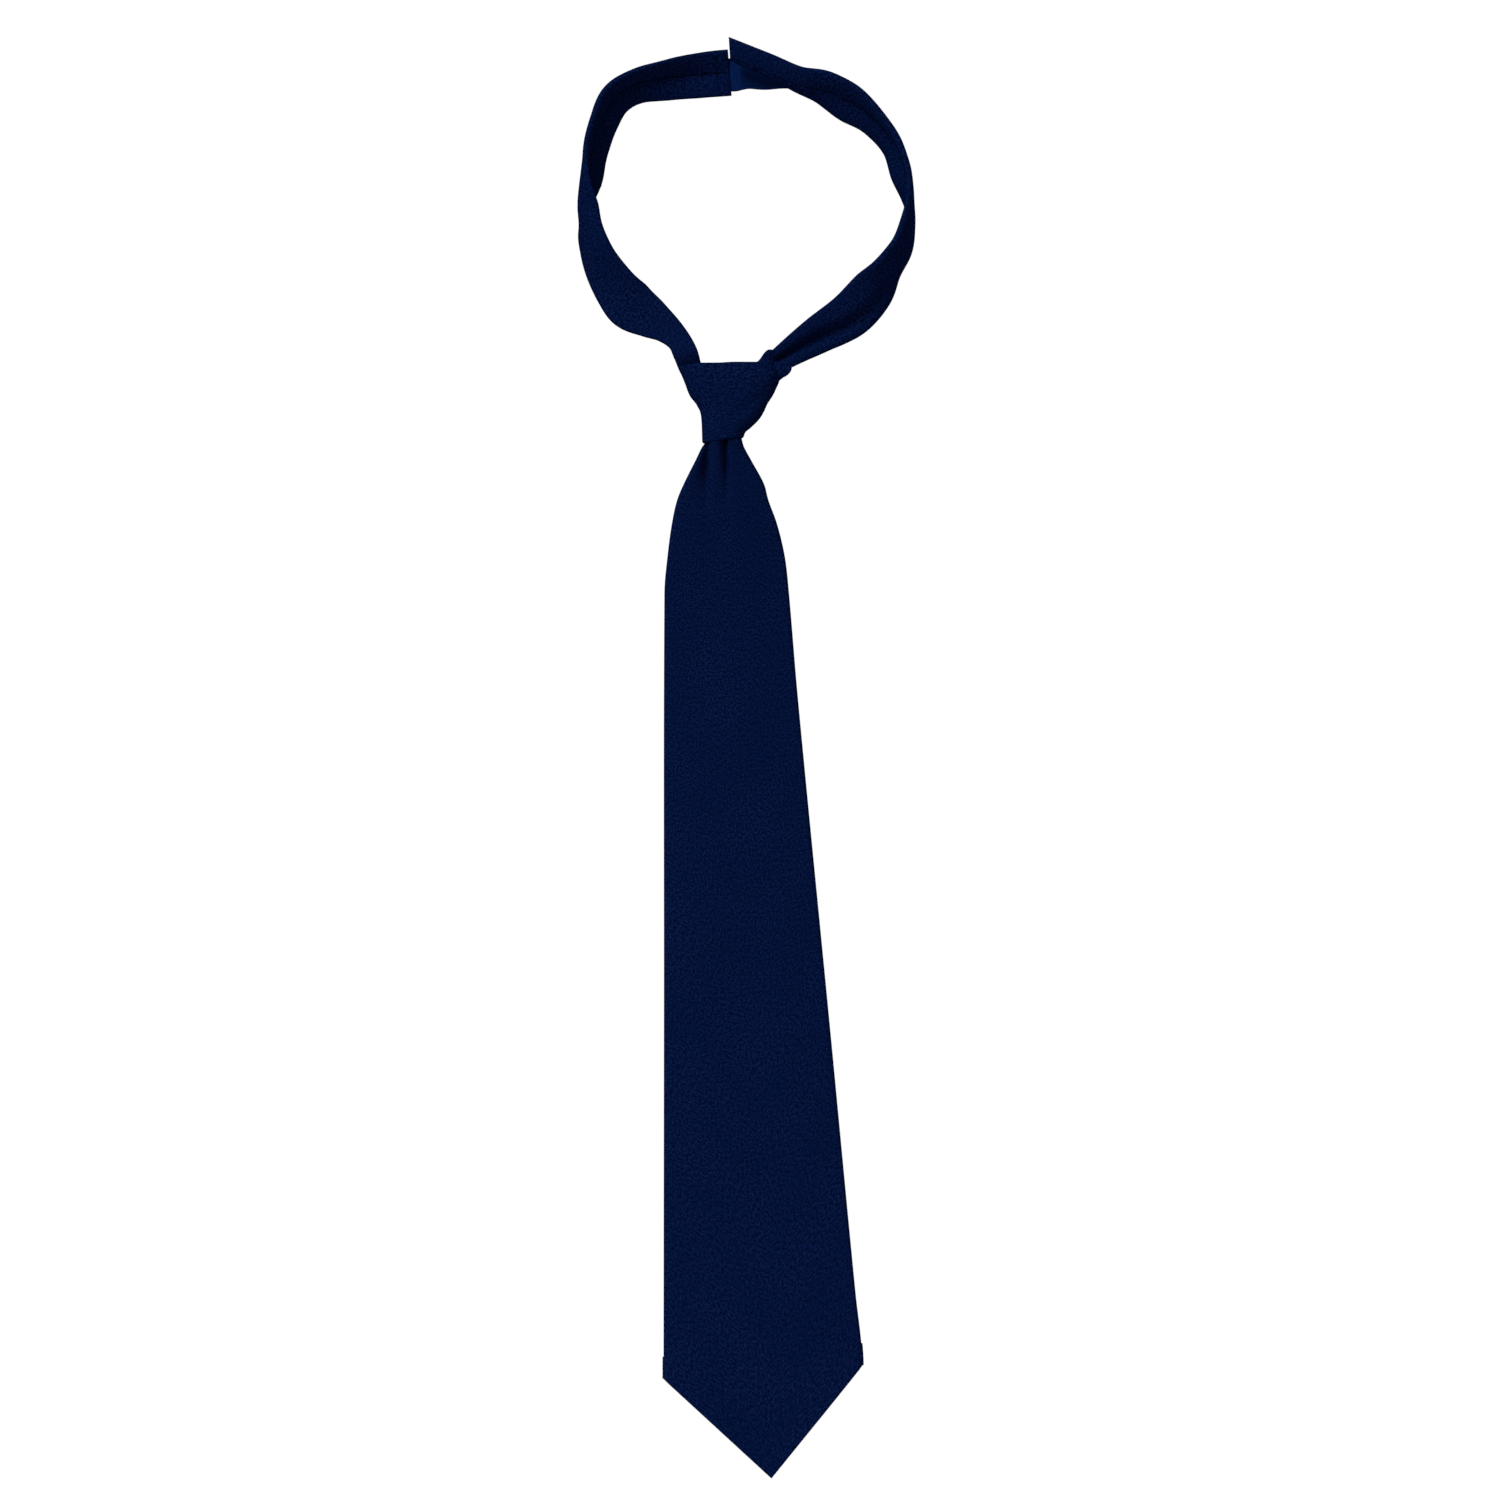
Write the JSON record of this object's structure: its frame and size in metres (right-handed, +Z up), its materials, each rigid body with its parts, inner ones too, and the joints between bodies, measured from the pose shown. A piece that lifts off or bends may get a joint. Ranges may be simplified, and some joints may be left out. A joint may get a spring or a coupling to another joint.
{
  "type": "necktie",
  "caption": "Pre-tied four-in-hand necktie: pointed blade, short tail behind it, and a neckband that closes at the nape with hook and loop tape.",
  "frame": {"origin": "middle of the knot's flat back, where it rests on the collar button", "axes": "+Z up towards the nape closure, +X to the viewer's right, the front of the tie faces -Y"},
  "size_m": [0.1291, 0.0218, 0.5531],
  "materials": {
    "fabric": "matte navy polyester, fine crepe-like weave",
    "tipping": "navy acetate lining with a soft sheen",
    "interlining": "brushed wool-blend interlining, undyed",
    "thread": "navy sewing thread",
    "tape": "navy nylon hook and loop tape",
    "label": "white satin, blank"
  },
  "bodies": {
    "knot": {"knot_front_wrap": "fabric", "knot_cross_turn": "fabric", "knot_core": "fabric", "knot_back_turn": "fabric", "knot_tack_thread": "thread", "left_neckband_root": "fabric", "right_neckband_root": "fabric"},
    "left_neckband": {"left_neckband_shell": "fabric", "left_neckband_interlining": "interlining", "left_neckband_seam_thread": "thread", "left_neckband_join_thread": "thread", "hook_tape_anchor": "tape", "hook_tape_stitching": "thread"},
    "hook_tab": {"hook_tape_backing": "tape", "hook_tape_hooks": "tape"},
    "right_neckband": {"right_neckband_shell": "fabric", "right_neckband_interlining": "interlining", "right_neckband_seam_thread": "thread", "loop_tape_backing": "tape", "loop_tape_pile": "tape", "loop_tape_stitching": "thread"},
    "blade": {"blade_shell": "fabric", "blade_interlining": "interlining", "blade_tipping": "tipping", "blade_seam_thread": "thread", "blade_bar_tack": "thread", "tail_shell": "fabric", "tail_interlining": "interlining", "tail_tipping": "tipping", "tail_seam_thread": "thread", "tail_bar_tack": "thread", "keeper_loop": "fabric", "keeper_stitch_left": "thread", "keeper_stitch_right": "thread", "care_label": "label"}
  },
  "joints": [
    {"name": "left_neckband_open", "type": "hinge", "parent": "knot", "child": "left_neckband", "pos_m": [-0.0173, -0.0095, 0.0184], "axis": [0, -1, 0], "range_deg": [-3, 75]},
    {"name": "right_neckband_open", "type": "hinge", "parent": "knot", "child": "right_neckband", "pos_m": [0.027, -0.0098, 0.0194], "axis": [0, 1, 0], "range_deg": [-3, 75]},
    {"name": "hook_tab_peel", "type": "hinge", "parent": "left_neckband", "child": "hook_tab", "pos_m": [0.0026, -0.0032, 0.1249], "axis": [0, 0, 1], "range_deg": [0, 100]},
    {"name": "blade_swing", "type": "hinge", "parent": "knot", "child": "blade", "pos_m": [-0.0022, -0.0145, -0.0175], "axis": [-1, 0, 0], "range_deg": [-10, 90]}
  ]
}
